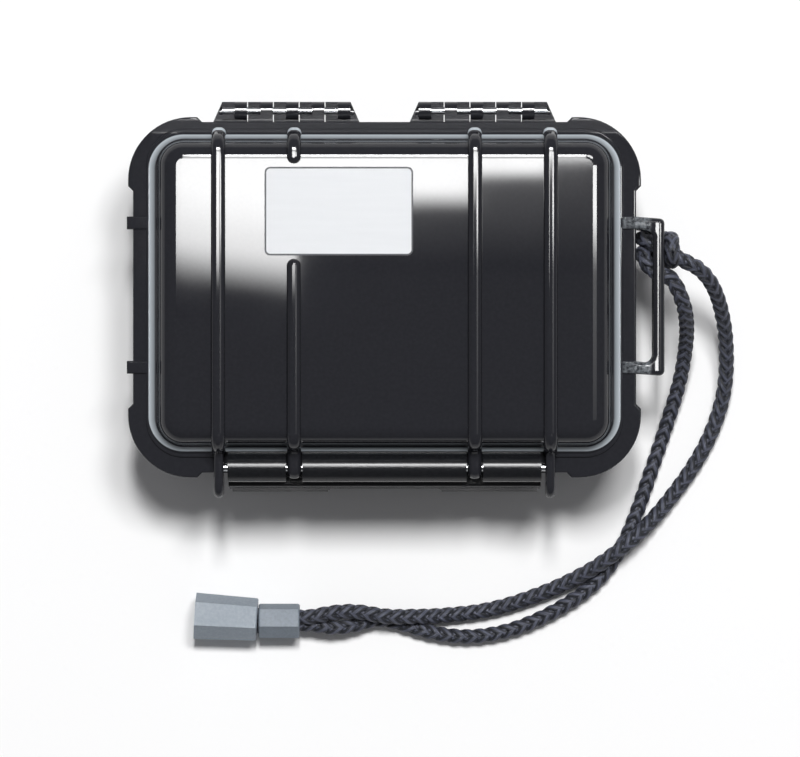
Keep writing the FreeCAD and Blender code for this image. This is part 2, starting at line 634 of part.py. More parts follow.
def latch():
    """Plate that hangs from a barrel on the pin, with a hook behind it and two finger lips."""
    inner = FLANGE_Y_FRONT - PLATE_CLEAR
    outer = inner - PLATE_T
    low = LATCH_Z - LATCH_DROP
    lip_z = low + LATCH_LIP_H
    hook_z = BASE_UNDER - HOOK_GAP
    tip_y = FLANGE_Y_FRONT + HOOK_BITE
    hook_low = hook_z - HOOK_T
    ledge_z = LATCH_Z - SLOT_DEPTH
    flare = LEDGE_OUT + LATCH_FLARE
    tip = flare + LATCH_LIP_OUT
    points = [
        (inner, LATCH_Z), (LATCH_Y - BARREL_R, LATCH_Z), (outer, ledge_z),
        (outer - LEDGE_OUT, ledge_z), (outer - flare, lip_z), (outer - tip, low),
        (inner - tip, low), (inner - flare, lip_z),
        (inner, hook_low - HOOK_T), (tip_y, hook_low), (tip_y, hook_z), (inner, hook_z),
    ]
    edge = LATCH_EDGE_R
    radii = [
        0, 0, edge / 2, LEDGE_R, LATCH_LIP_H, edge, edge, LATCH_LIP_H, HOOK_T, edge, edge / 2, 0,
    ]
    width = 2 * LATCH_END_X
    body = profile_slab(points, radii, 0, width)
    axis = (V(-LATCH_END_X, LATCH_Y, LATCH_Z), V(LATCH_END_X, LATCH_Y, LATCH_Z))
    barrel = rod(BARREL_R, *axis)
    body = body.fuse(barrel)
    y_out = outer - tip - OVER
    notch_z = lip_z - LATCH_EDGE_R
    notch = plate(-NOTCH_W / 2, NOTCH_W / 2, low - LATCH_LIP_H, notch_z, 0, inner - y_out, LATCH_LIP_H / 2)
    notch.rotate(V(0, 0, 0), V(1, 0, 0), 90)
    notch.translate(V(0, inner, 0))
    cuts = [notch]
    for side in (-1, 1):
        x0, x1 = sorted((side * (LATCH_END_X - LIP_END), side * (LATCH_END_X + OVER)))
        cuts.append(box(x0, x1, y_out, inner, low - OVER, notch_z))
        half = RIB_W / 2 + LUG_CLEAR
        x = side * RIB_INNER_X
        cuts.append(box(x - half, x + half, y_out, FRONT_CUT_Y, ledge_z, LATCH_Z + BARREL_R + OVER))
    bore = rod(LATCH_PIN_R + PIN_RUN, axis[0] - V(OVER, 0, 0), axis[1] + V(OVER, 0, 0))
    return body.cut(cuts + [bore]).removeSplitter()


def latch_pin():
    end = RIB_OUTER_X + PIN_IN_HORN
    return rod(LATCH_PIN_R, V(-end, LATCH_Y, LATCH_Z), V(end, LATCH_Y, LATCH_Z))


def label():
    x0 = LABEL_X - LABEL_L / 2
    y0 = LABEL_Y - LABEL_W / 2
    return plate(x0, x0 + LABEL_L, y0, y0 + LABEL_W, LID_TOP, LID_TOP + LABEL_T, LABEL_CORNER_R)


def valve_body():
    top = VALVE_SEAT_X + VALVE_HEAD_T
    head = rod(VALVE_HEAD_R, valve_axis(top), valve_axis(VALVE_SEAT_X))
    shank = rod(VALVE_SHANK_R, valve_axis(VALVE_SEAT_X), valve_axis(VALVE_END_X))
    recess = rod(VALVE_RECESS_R, valve_axis(top + OVER), valve_axis(top - VALVE_RECESS_T))
    bore = rod(VALVE_BORE_R, valve_axis(top), valve_axis(VALVE_END_X - OVER))
    rim = [e for e in head.Edges if abs(e.BoundBox.XMin + top) < NEAR and e.BoundBox.XLength < NEAR]
    head = head.makeFillet(VALVE_EDGE_R, rim)
    return head.fuse(shank).cut([recess, bore]).removeSplitter()


def valve_membrane():
    floor = VALVE_SEAT_X + VALVE_HEAD_T - VALVE_RECESS_T
    return rod(VALVE_RECESS_R - VALVE_FIT, valve_axis(floor + MEMBRANE_T), valve_axis(floor))


def valve_cap():
    floor = VALVE_SEAT_X + VALVE_HEAD_T - VALVE_RECESS_T + MEMBRANE_T
    cap = rod(VALVE_RECESS_R - VALVE_FIT, valve_axis(floor + CAP_T), valve_axis(floor))
    vents = []
    for k in range(CAP_VENTS):
        angle = 2 * math.pi * k / CAP_VENTS
        shift = V(0, math.cos(angle), math.sin(angle)) * (VALVE_RECESS_R / 2)
        start = valve_axis(floor + CAP_T + OVER) + shift
        vents.append(rod(CAP_VENT_R, start, valve_axis(floor - OVER) + shift))
    return cap.cut(vents)


def valve_o_ring():
    middle = valve_axis(VALVE_SEAT_X - VALVE_RING_SECTION_R - VALVE_FIT / 2)
    return Part.makeTorus(VALVE_RING_R, VALVE_RING_SECTION_R, middle, V(1, 0, 0))


def valve_nut():
    nut = rod(VALVE_NUT_R, valve_axis(VALVE_NUT_X), valve_axis(VALVE_END_X))
    hole = rod(VALVE_SHANK_R + VALVE_FIT, valve_axis(VALVE_NUT_X + OVER), valve_axis(VALVE_END_X - OVER))
    return nut.cut(hole)


def hexagon(x, y, radius, roll_deg):
    """Six sided outline across X, rolled back from lying on a flat side."""
    points = []
    for k in range(6):
        angle = math.radians(60 * k - roll_deg)
        points.append(V(x, y + radius * math.cos(angle), END_Z + radius * math.sin(angle)))
    return Part.makePolygon(points + points[:1])


def strand_slot(x0, x1):
    """Way for the two strands side by side."""
    radius = CORD_R + SLOT_CLEAR
    rods = []
    for side in (-1, 1):
        y = END_Y + side * STRAND_OUT
        rods.append(rod(radius, V(x0, y, END_Z), V(x1, y, END_Z)))
    middle = box(x0, x1, END_Y - STRAND_OUT, END_Y + STRAND_OUT, END_Z - radius, END_Z + radius)
    return middle.fuse(rods).removeSplitter()


def cord_end_knob():
    y = END_Y + KNOB_SHIFT
    x1 = END_X + KNOB_L
    wide = hexagon(END_X, y, KNOB_WIDE_R, KNOB_ROLL_DEG)
    slim = hexagon(x1, y, KNOB_SLIM_R, KNOB_ROLL_DEG)
    knob = Part.makeLoft([wide, slim], True, True)
    rim = [e for e in knob.Edges if e.BoundBox.XMin > x1 - END_EDGE_R]
    knob = knob.makeFillet(END_EDGE_R, rim)
    floor = END_X + KNOB_BORE_DEPTH
    knob = knob.cut(rod(KNOB_BORE_R, V(END_X - OVER, y, END_Z), V(floor, y, END_Z)))
    knob.rotate(V(x1, y, END_Z), V(0, 0, 1), -KNOB_TILT_DEG)
    return knob.cut(strand_slot(floor - OVER, x1 + OVER))


def cord_slider():
    x1 = SLIDER_X + SLIDER_L
    ends = [hexagon(x, END_Y, SLIDER_R, SLIDER_ROLL_DEG) for x in (SLIDER_X, x1)]
    body = Part.makeLoft(ends, True, True)
    rims = [e for e in body.Edges if e.BoundBox.XLength < END_EDGE_R]
    body = body.makeFillet(END_EDGE_R, rims)
    return body.cut(strand_slot(SLIDER_X - OVER, x1 + OVER))


def cord_knot():
    face = OUTER_ROUTE[-1][0]
    y = END_Y + 2 * KNOB_SHIFT
    knot = rod(KNOT_R, V(face - KNOT_L, y, END_Z), V(face, y, END_Z))
    rims = [e for e in knot.Edges if isinstance(e.Curve, Part.Circle) and e.BoundBox.XMax < face - OVER]
    return knot.makeFillet(KNOT_ROUND_R, rims)


def cord_path(route):
    """Straight runs joined by tangent arcs as large as the runs allow."""
    points = [V(*p) for p in route]
    edges, radii = [], []
    start = points[0]
    for i in range(1, len(points) - 1):
        here = points[i]
        to_last = points[i - 1] - here
        to_next = points[i + 1] - here
        turn = math.pi - to_last.getAngle(to_next)
        back = ARC_SHARE * min(to_last.Length, to_next.Length)
        radius = back / math.tan(turn / 2)
        to_last.normalize()
        to_next.normalize()
        inward = to_last + to_next
        inward.normalize()
        middle = here + inward * (radius / math.cos(turn / 2) - radius)
        edges.append(Part.LineSegment(start, here + to_last * back).toShape())
        start = here + to_next * back
        edges.append(Part.Arc(here + to_last * back, middle, start).toShape())
        radii.append(radius)
    edges.append(Part.LineSegment(start, points[-1]).toShape())
    return Part.Wire(edges), radii


def cord_tube(name, route):
    path, radii = cord_path(route)
    first = V(*route[1]) - V(*route[0])
    section = Part.Wire(Part.makeCircle(CORD_R, V(*route[0]), first))
    tube = path.makePipeShell([section], True, False)
    share = tube.Volume / (math.pi * CORD_R ** 2 * path.Length)
    print(name, "length", round(path.Length, 1), "volume share", round(share, 4))
    print(name, "radii", [round(r, 1) for r in radii])
    return tube


PIECES = {
    "base_shell": base_shell,
    "base_liner": base_liner,
    "lid_shell": lid_shell,
    "hinge_pin_left": lambda: hinge_pin(-1),
    "hinge_pin_right": lambda: hinge_pin(1),
    "latch": latch,
    "latch_pin": latch_pin,
    "lid_label": label,
    "valve_body": valve_body,
    "valve_membrane": valve_membrane,
    "valve_cap": valve_cap,
    "valve_o_ring": valve_o_ring,
    "valve_nut": valve_nut,
    "cord_hitch": lambda: cord_tube("cord_hitch", HITCH_ROUTE),
    "cord_strand_outer": lambda: cord_tube("cord_strand_outer", OUTER_ROUTE),
    "cord_strand_inner": lambda: cord_tube("cord_strand_inner", INNER_ROUTE),
    "cord_knot": cord_knot,
    "cord_end_knob": cord_end_knob,
    "cord_slider": cord_slider,
}

os.makedirs("parts", exist_ok=True)
for name, make in PIECES.items():
    shape = make()
    if len(shape.Solids) == 1:
        shape = shape.Solids[0]
    print(name, "solids", len(shape.Solids), "valid", shape.isValid(), "volume", round(shape.Volume, 1))
    shape.exportStep("parts/" + name + ".step")
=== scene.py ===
import math

import bpy
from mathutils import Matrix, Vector


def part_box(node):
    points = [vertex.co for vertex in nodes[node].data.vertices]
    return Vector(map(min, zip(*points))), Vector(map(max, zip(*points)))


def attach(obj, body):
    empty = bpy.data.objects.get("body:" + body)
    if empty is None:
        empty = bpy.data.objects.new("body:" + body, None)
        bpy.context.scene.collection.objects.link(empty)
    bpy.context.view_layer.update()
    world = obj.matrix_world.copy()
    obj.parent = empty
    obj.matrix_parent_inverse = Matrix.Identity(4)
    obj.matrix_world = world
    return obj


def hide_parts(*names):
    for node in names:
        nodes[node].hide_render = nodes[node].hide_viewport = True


# Small hard case, closed, seen from straight above on a white table. Metres.

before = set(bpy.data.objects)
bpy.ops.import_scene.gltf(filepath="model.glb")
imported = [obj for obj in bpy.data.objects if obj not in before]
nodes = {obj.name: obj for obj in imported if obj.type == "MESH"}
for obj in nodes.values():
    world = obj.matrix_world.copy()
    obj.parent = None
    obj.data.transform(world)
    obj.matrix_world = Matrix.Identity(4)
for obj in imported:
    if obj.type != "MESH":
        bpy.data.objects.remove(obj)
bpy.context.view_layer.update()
scene = bpy.context.scene
scene.view_settings.view_transform = "Standard"
FULL_TURN = 2 * math.pi


# Camera: a long lens straight above the table
SENSOR_MM = 36
LENS_MM = 296
CAMERA_PLACE = (0.0047, -0.026, 2.04)

lens = bpy.data.cameras.new("camera")
lens.sensor_width = SENSOR_MM
lens.lens = LENS_MM
camera = bpy.data.objects.new("camera", lens)
camera.location = CAMERA_PLACE
scene.collection.objects.link(camera)
scene.camera = camera


# Materials
class MaterialNodes:
    """Short way to add and join shader nodes of one material."""

    def __init__(self, name):
        self.material = bpy.data.materials.new(name)
        self.material.use_nodes = True
        self.tree = self.material.node_tree
        self.shader = self.tree.nodes["Principled BSDF"]
        self.place = self.add("ShaderNodeTexCoord").outputs["Object"]

    def add(self, kind, inputs=None, **settings):
        node = self.tree.nodes.new(kind)
        for key, value in settings.items():
            setattr(node, key, value)
        for key, value in (inputs or {}).items():
            self.put(node.inputs[key], value)
        return node

    def put(self, socket, value):
        if isinstance(value, bpy.types.NodeSocket):
            self.tree.links.new(value, socket)
        else:
            socket.default_value = value

    def axes(self, place):
        """The X, Y and Z outputs of a place."""
        return self.add("ShaderNodeSeparateXYZ", {"Vector": place}).outputs

    def math(self, operation, a, b=0.0):
        return self.add("ShaderNodeMath", {0: a, 1: b}, operation=operation).outputs[0]

    def noise(self, scale, detail, place=None, stretch=None):
        place = place or self.place
        if stretch:
            place = self.add("ShaderNodeMapping", {"Vector": place, "Scale": stretch}).outputs[0]
        node = self.add("ShaderNodeTexNoise", {"Vector": place, "Scale": scale, "Detail": detail})
        return node.outputs["Fac"]

    def ramp(self, value, low, high, out_low=0.0, out_high=1.0, kind="LINEAR"):
        node = self.add("ShaderNodeMapRange", {
            "Value": value, "From Min": low, "From Max": high, "To Min": out_low, "To Max": out_high,
        }, interpolation_type=kind)
        return node.outputs[0]

    def smooth(self, value, low, high, out_low=0.0, out_high=1.0):
        return self.ramp(value, low, high, out_low, out_high, "SMOOTHSTEP")

    def mix(self, share, a, b):
        node = self.add("ShaderNodeMix", data_type="RGBA")
        self.put(node.inputs["Factor"], share)
        self.put(node.inputs["A"], a)
        self.put(node.inputs["B"], b)
        return node.outputs["Result"]

    def from_outline(self, middle, half, radius):
        """Distance outside a rounded rectangle, which is negative inside."""
        spot = self.axes(self.place)
        over = []
        for axis, centre, reach in zip("XY", middle, half):
            off = self.math("ABSOLUTE", self.math("SUBTRACT", spot[axis], centre))
            over.append(self.math("SUBTRACT", off, reach - radius))
        inside = self.math("MINIMUM", self.math("MAXIMUM", over[0], over[1]), 0.0)
        squares = [self.math("POWER", self.math("MAXIMUM", past, 0.0), 2.0) for past in over]
        outside = self.math("SQRT", self.math("ADD", squares[0], squares[1]))
        return self.math("SUBTRACT", self.math("ADD", inside, outside), radius)

    def between(self, value, low, high, blur):
        """One between two limits and zero beyond them, with soft ends."""
        rise = self.ramp(value, low - blur, low + blur)
        return self.math("MULTIPLY", rise, self.ramp(value, high - blur, high + blur, 1.0, 0.0))

    def bump(self, height, strength, distance, normal=None):
        inputs = {"Height": height, "Strength": strength, "Distance": distance}
        if normal:
            inputs["Normal"] = normal
        return self.add("ShaderNodeBump", inputs).outputs[0]

    def set(self, **sockets):
        for key, value in sockets.items():
            self.put(self.shader.inputs[key.replace("_", " ")], value)
        return self.material


# The lid's foot, where a lighter satin band runs round the wall; across the band the grey is painted
# shade, darker at the inner edge and lighter at the outer edge
FOOT_OUTER_HALF = (0.0718, 0.0482)
FOOT_OUTER_R = 0.0108
FOOT_OUTER_FADE = (-0.0002, 0.0)
FOOT_INNER_HALF = (0.0697, 0.0468)
FOOT_INNER_R = 0.0092
FOOT_INNER_FADE = (-0.0001, 0.0002)
# Width over which the band's painted shade goes from dark to light
FOOT_SHADE_WIDE = 0.002
FOOT_Z = (0.0411, 0.0436)
FOOT_BLUR = 0.0001
# The back tips of the ribs and the arms of the strap bar have the same satin finish; on the arms it is
# mottled, and the grey there is partly painted sheen
TIP_Y = (0.0482, 0.0512)
TIP_Z = (0.0421, 0.0452)
TIP_BLUR = 0.0002
ARM_X = (0.0724, 0.0809)
ARM_X_BLUR = 0.0004
ARM_Y = (0.0182, 0.0262)
ARM_Y_BLUR = 0.0002
ARM_Z = (0.0408, 0.0413)
# The back of the flange and the hinge knuckles are duller than the rest, the strap bar is shinier
BACK_Y = (0.0488, 0.0526)
BACK_Y_BLUR = 0.0003
BACK_Z = (0.0465, 0.0475)
KNUCKLE_Y = (0.0526, 0.053)
BAR_X = (0.0809, 0.0814)
BAND_ROUGH = 0.35
BACK_ROUGH = 0.75
KNUCKLE_ROUGH = 0.06
BAR_ROUGH_SHARE = 0.2
# The label's dark border
LABEL_CORNER_R = 0.0018
BORDER_FADE = (-0.0006, -0.0004)
BORDER_COLOUR = (0.06, 0.062, 0.07, 1)
# Darkest and lightest colour of each material, and the tint of the cord's sheen
SHELL_DARK = (0.0175, 0.018, 0.022, 1)
SHELL_LIGHT = (0.0205, 0.021, 0.0255, 1)
# The band's dark colour is painted shade at its inner edge
BAND_PAINTED_SHADE = (0.14, 0.155, 0.17, 1)
BAND_LIGHT = (0.55, 0.6, 0.64, 1)
LATCH_DARK = (0.008, 0.0085, 0.01, 1)
LATCH_LIGHT = (0.012, 0.0125, 0.0145, 1)
LINER_DARK = (0.012, 0.012, 0.013, 1)
LINER_LIGHT = (0.022, 0.022, 0.024, 1)
STEEL_DARK = (0.4, 0.41, 0.43, 1)
STEEL_LIGHT = (0.52, 0.53, 0.55, 1)
LABEL_DARK = (0.67, 0.685, 0.705, 1)
LABEL_LIGHT = (0.69, 0.705, 0.725, 1)
VALVE_DARK = (0.035, 0.035, 0.04, 1)
VALVE_LIGHT = (0.055, 0.055, 0.06, 1)
SEAL_DARK = (0.03, 0.03, 0.03, 1)
SEAL_LIGHT = (0.05, 0.05, 0.05, 1)
CORD_DARK = (0.0085, 0.0098, 0.0145, 1)
# The cord's light colour is a painted highlight on the crowns of its yarns
CORD_PAINTED_HIGHLIGHT = (0.092, 0.1, 0.142, 1)
CORD_SHEEN = (0.5, 0.52, 0.66, 1)
# The knob and the slider are one plastic: the knob's colours are a lighter copy and the slider's a darker
# copy, painted light and shade
KNOB_LIT_DARK = (0.215, 0.25, 0.29, 1)
KNOB_LIT_LIGHT = (0.26, 0.3, 0.345, 1)
SLIDER_SHADED_DARK = (0.15, 0.178, 0.212, 1)
SLIDER_SHADED_LIGHT = (0.185, 0.218, 0.256, 1)


def shell_plastic():
    look = MaterialNodes("shell_plastic")
    spot = look.axes(look.place)
    outside = look.from_outline((0.0, 0.0), FOOT_OUTER_HALF, FOOT_OUTER_R)
    inside = look.from_outline((0.0, 0.0), FOOT_INNER_HALF, FOOT_INNER_R)
    ring = look.math(
        "MULTIPLY", look.ramp(outside, *FOOT_OUTER_FADE, 1.0, 0.0), look.ramp(inside, *FOOT_INNER_FADE),
    )
    foot = look.math("MULTIPLY", ring, look.between(spot["Z"], *FOOT_Z, FOOT_BLUR))
    tips = look.math(
        "MULTIPLY", look.between(spot["Y"], *TIP_Y, TIP_BLUR), look.between(spot["Z"], *TIP_Z, TIP_BLUR),
    )
    arms = look.math(
        "MULTIPLY", look.between(spot["X"], *ARM_X, ARM_X_BLUR),
        look.between(look.math("ABSOLUTE", spot["Y"]), *ARM_Y, ARM_Y_BLUR),
    )
    arms = look.math("MULTIPLY", arms, look.ramp(spot["Z"], *ARM_Z))
    # Painted sheen: the arm tops get a mottled lighter grey, partly their satin finish and partly the
    # sheen of light on them
    arm_sheen_mottle = look.ramp(look.noise(scale=1300.0, detail=3.0), low=0.35, high=0.65, out_low=0.02, out_high=0.3)
    band = look.math("MAXIMUM", foot, look.math("MAXIMUM", tips, look.math("MULTIPLY", arms, arm_sheen_mottle)))
    speck = look.ramp(look.noise(scale=900.0, detail=3.0), low=0.35, high=0.75)
    black = look.mix(speck, SHELL_DARK, SHELL_LIGHT)
    # Painted shade across the band: dark at its inner edge, light at its outer edge
    band_grey_painted_shade = look.mix(look.ramp(inside, 0.0, FOOT_SHADE_WIDE), BAND_PAINTED_SHADE, BAND_LIGHT)
    back = look.math(
        "MULTIPLY", look.between(spot["Y"], *BACK_Y, BACK_Y_BLUR), look.ramp(spot["Z"], *BACK_Z, 1.0, 0.0),
    )
    knuckles = look.ramp(spot["Y"], *KNUCKLE_Y)
    patch = look.noise(scale=60.0, detail=4.0)
    roughness = look.ramp(patch, low=0.4, high=0.8, out_low=0.03, out_high=0.045)
    roughness = look.math("MULTIPLY", roughness, look.ramp(spot["X"], *BAR_X, 1.0, BAR_ROUGH_SHARE))
    for share, dull in ((band, BAND_ROUGH), (back, BACK_ROUGH), (knuckles, KNUCKLE_ROUGH)):
        roughness = look.math("MAXIMUM", roughness, look.math("MULTIPLY", share, dull))
    return look.set(
        Base_Color=look.mix(band, black, band_grey_painted_shade), Roughness=roughness, IOR=1.36,
        Normal=look.bump(look.noise(scale=9.0, detail=1.0), strength=0.015, distance=0.002),
    )


def latch_plastic():
    look = MaterialNodes("latch_plastic")
    speck = look.ramp(look.noise(scale=800.0, detail=3.0), low=0.35, high=0.75)
    patch = look.noise(scale=70.0, detail=4.0)
    return look.set(
        Base_Color=look.mix(speck, LATCH_DARK, LATCH_LIGHT),
        Roughness=look.ramp(patch, low=0.3, high=0.8, out_low=0.2, out_high=0.25), IOR=1.33,
        Normal=look.bump(look.noise(scale=1200.0, detail=2.0), strength=0.03, distance=0.0002),
    )


def liner_rubber():
    look = MaterialNodes("liner_rubber")
    speck = look.noise(scale=1500.0, detail=4.0)
    return look.set(
        Base_Color=look.mix(look.ramp(speck, low=0.3, high=0.7), LINER_DARK, LINER_LIGHT),
        Roughness=look.ramp(speck, low=0.3, high=0.7, out_low=0.6, out_high=0.75), IOR=1.45,
        Normal=look.bump(speck, strength=0.2, distance=0.0002),
    )


def pin_steel():
    look = MaterialNodes("pin_steel")
    drawn = look.noise(scale=900.0, detail=3.0, stretch=(0.05, 1.0, 1.0))
    return look.set(
        Base_Color=look.mix(look.ramp(drawn, low=0.3, high=0.7), STEEL_DARK, STEEL_LIGHT), Metallic=1.0,
        Roughness=look.ramp(drawn, low=0.3, high=0.7, out_low=0.18, out_high=0.3),
        Normal=look.bump(drawn, strength=0.1, distance=0.0001),
    )


def label_silver():
    look = MaterialNodes("label_silver")
    low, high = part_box("lid_label")
    out = look.from_outline((low + high) / 2, (high - low) / 2, LABEL_CORNER_R)
    grain = look.ramp(look.noise(scale=500.0, detail=3.0, stretch=(0.08, 1.0, 1.0)), low=0.3, high=0.7)
    silver = look.mix(grain, LABEL_DARK, LABEL_LIGHT)
    return look.set(
        Base_Color=look.mix(look.ramp(out, *BORDER_FADE), silver, BORDER_COLOUR),
        Roughness=look.ramp(grain, low=0.0, high=1.0, out_low=0.45, out_high=0.5), Specular_IOR_Level=0.25,
        Normal=look.bump(grain, strength=0.02, distance=0.0001),
    )


def valve_plastic():
    look = MaterialNodes("valve_plastic")
    speck = look.noise(scale=1600.0, detail=4.0)
    return look.set(
        Base_Color=look.mix(look.ramp(speck, low=0.3, high=0.7), VALVE_DARK, VALVE_LIGHT),
        Roughness=look.ramp(speck, low=0.3, high=0.7, out_low=0.45, out_high=0.6),
        Normal=look.bump(speck, strength=0.2, distance=0.0002),
    )


def seal_rubber():
    look = MaterialNodes("seal_rubber")
    speck = look.noise(scale=2000.0, detail=4.0)
    return look.set(
        Base_Color=look.mix(look.ramp(speck, low=0.3, high=0.7), SEAL_DARK, SEAL_LIGHT), Roughness=0.7,
        Normal=look.bump(speck, strength=0.2, distance=0.0002),
    )


def cord_braid():
    look = MaterialNodes("cord_braid")
    along = look.add("ShaderNodeUVMap", uv_map="yarn").outputs[0]
    thread = look.noise(scale=1.0, detail=3.0, place=along, stretch=(2.0, 26.0, 1.0))
    fuzz = look.noise(scale=2500.0, detail=3.0)
    turn = look.math("MULTIPLY", look.axes(along)["Y"], FULL_TURN)
    # Painted highlight and shade: each yarn's outer crown is painted lighter, streaked along the thread,
    # and the rest of it, down into the grooves, stays dark
    yarn_crown_highlight = look.smooth(look.math("SINE", turn), low=0.78, high=1.0)
    streak = look.ramp(thread, low=0.35, high=0.65, out_low=0.25, out_high=1.0)
    painted_highlight = look.math("MULTIPLY", yarn_crown_highlight, streak)
    woven = look.bump(thread, strength=0.6, distance=0.0003)
    return look.set(
        Base_Color=look.mix(painted_highlight, CORD_DARK, CORD_PAINTED_HIGHLIGHT), Roughness=0.6, IOR=1.45,
        Normal=look.bump(fuzz, strength=0.25, distance=0.0003, normal=woven),
        Sheen_Weight=0.1, Sheen_Roughness=0.5, Sheen_Tint=CORD_SHEEN,
    )


def cord_end_plastic(name, dark, light):
    look = MaterialNodes(name)
    speck = look.noise(scale=1100.0, detail=4.0)
    patch = look.noise(scale=90.0, detail=4.0)
    return look.set(
        Base_Color=look.mix(look.ramp(speck, low=0.3, high=0.7), dark, light),
        Roughness=look.ramp(patch, low=0.3, high=0.7, out_low=0.46, out_high=0.56), IOR=1.42,
        Normal=look.bump(speck, strength=0.08, distance=0.0002),
    )


# One plastic in two copies, painted lighter on the knob and darker on the slider for how light falls on
# each
knob_lit_copy = cord_end_plastic("knob_plastic_lit_copy", KNOB_LIT_DARK, KNOB_LIT_LIGHT)
slider_shaded_copy = cord_end_plastic("slider_plastic_shaded_copy", SLIDER_SHADED_DARK, SLIDER_SHADED_LIGHT)
finishes = [
    ("shell_plastic", shell_plastic(), ["lid_shell", "base_shell"]),
    ("latch_plastic", latch_plastic(), ["latch"]),
    ("liner_rubber", liner_rubber(), ["base_liner"]),
    ("pin_steel", pin_steel(), ["hinge_pin_left", "hinge_pin_right", "latch_pin"]),
    ("label_silver", label_silver(), ["lid_label"]),
    ("valve_plastic", valve_plastic(), ["valve_body", "valve_cap", "valve_nut"]),
    ("seal_rubber", seal_rubber(), ["valve_membrane", "valve_o_ring"]),
    ("cord_end_plastic", knob_lit_copy, ["cord_end_knob"]),
    ("cord_end_plastic", slider_shaded_copy, ["cord_slider"]),
]
for slot, material, members in finishes:
    for name in members:
        nodes[name].data.materials.clear()
        nodes[name].data.materials.append(material)


# Cord: two halves, from the middle of the hitch on the strap bar to the knot in the end piece
BRAID_R = 0.00245
CURVE_STEPS = 24
EXIT = (0.0876, 0.0125, 0.0394)
OUTER_HALF = [
    EXIT, (0.0875, 0.0163, 0.0392), (0.0873, 0.0168, 0.0262),
    (0.0788, 0.0168, 0.0262), (0.0786, 0.0168, 0.0358), (0.0925, 0.0092, 0.034655),
    (0.0958, 0.0078, 0.033), (0.0998, 0.0037, 0.0293), (0.103, -0.003, 0.0212),
    (0.1055, -0.0143, 0.0114), (0.1055, -0.0294, 0.0046), (0.1016, -0.0423, 0.0026),
    (0.096, -0.0528, 0.0026), (0.0892, -0.0622, 0.0026), (0.0832, -0.0694, 0.004),
    (0.0777, -0.0746, 0.0074), (0.0696, -0.0813, 0.0074), (0.0619, -0.0864, 0.0048),
    (0.0496, -0.0924, 0.0026), (0.0329, -0.0979, 0.0026), (0.0166, -0.0996, 0.0027),
    (0.0079, -0.0996, 0.00615), (0.0006, -0.0997, 0.00715), (-0.009, -0.0978, 0.0072),
    (-0.0172, -0.0984, 0.0076), (-0.0246, -0.1003, 0.0084), (-0.0473, -0.09868, 0.0069),
]
INNER_HALF = [
    EXIT, (0.0876, 0.0102, 0.0394), (0.0875, 0.0095, 0.0262),
    (0.0786, 0.0122, 0.0262), (0.0784, 0.0122, 0.0356), (0.0812, 0.0066, 0.0357),
    (0.0868, 0.0054, 0.0353), (0.0893, 0.0016, 0.0345), (0.0907, -0.0019, 0.033),
    (0.092, -0.0056, 0.0292), (0.0928, -0.0109, 0.021), (0.0927, -0.0172, 0.0128),
    (0.0913, -0.027, 0.0066), (0.0872, -0.0407, 0.0026), (0.0826, -0.0543, 0.0026),
    (0.0782, -0.0673, 0.0026), (0.0735, -0.0785, 0.0026), (0.066, -0.0892, 0.0026),
    (0.0543, -0.0974, 0.0026), (0.0403, -0.1039, 0.0026), (0.0264, -0.1064, 0.0026),
    (0.014, -0.1048, 0.0026), (0.0055, -0.102, 0.0026), (-0.0022, -0.1002, 0.0026),
    (-0.01, -0.1026, 0.0047), (-0.0172, -0.1032, 0.0058), (-0.0246, -0.1015, 0.0054),
    (-0.0473, -0.10312, 0.0069),
]


def spline_points(route):
    """Points along the smooth curve that the route's points control."""
    curve = bpy.data.curves.new("route", "CURVE")
    curve.dimensions = "3D"
    curve.resolution_u = CURVE_STEPS
    spline = curve.splines.new("NURBS")
    spline.points.add(len(route) - 1)
    for point, place in zip(spline.points, route):
        point.co = (*place, 1)
    spline.order_u = 3
    spline.use_endpoint_u = True
    holder = bpy.data.objects.new("route", curve)
    mesh = bpy.data.meshes.new_from_object(holder)
    points = [vertex.co.copy() for vertex in mesh.vertices]
    bpy.data.meshes.remove(mesh)
    bpy.data.objects.remove(holder)
    bpy.data.curves.remove(curve)
    return points


def distances(points):
    """Distance along the points, up to each one."""
    along = [0.0]
    for point, following in zip(points, points[1:]):
        along.append(along[-1] + (following - point).length)
    return along


# Braid: how many yarns go each way, and the length in which one goes round once
YARNS = 4
PITCH = 0.0157
# A yarn's half width and half thickness, and how far it goes over and under the others
YARN_WIDE = 0.00108
YARN_THICK = 0.00066
YARN_RISE = 0.00023
YARN_SIDES = 8
YARN_START = math.pi / 4
LIFT_STEEP = 1.5


def upright(points):
    """Upward and sideways vectors at each point, turned as little as possible."""
    up = Vector((0, 0, 1))
    last = len(points) - 1
    found = []
    for i in range(len(points)):
        ahead = (points[min(i + 1, last)] - points[max(i - 1, 0)]).normalized()
        up = (up - ahead * up.dot(ahead)).normalized()
        found.append((up.copy(), ahead.cross(up)))
    return found


def yarn_line(points, radius, start, way, flip):
    """Middle of a yarn, and the direction out of the cord, at each point of the cord."""
    line = []
    for point, (up, side), distance in zip(points, upright(points), distances(points)):
        angle = FULL_TURN * (start + way * distance / PITCH) + YARN_START
        lift = max(-1.0, min(1.0, LIFT_STEEP * math.sin(2 * angle))) * way * flip
        out = up * math.cos(angle) + side * math.sin(angle)
        line.append((point + out * (radius + YARN_RISE * lift), out))
    return line


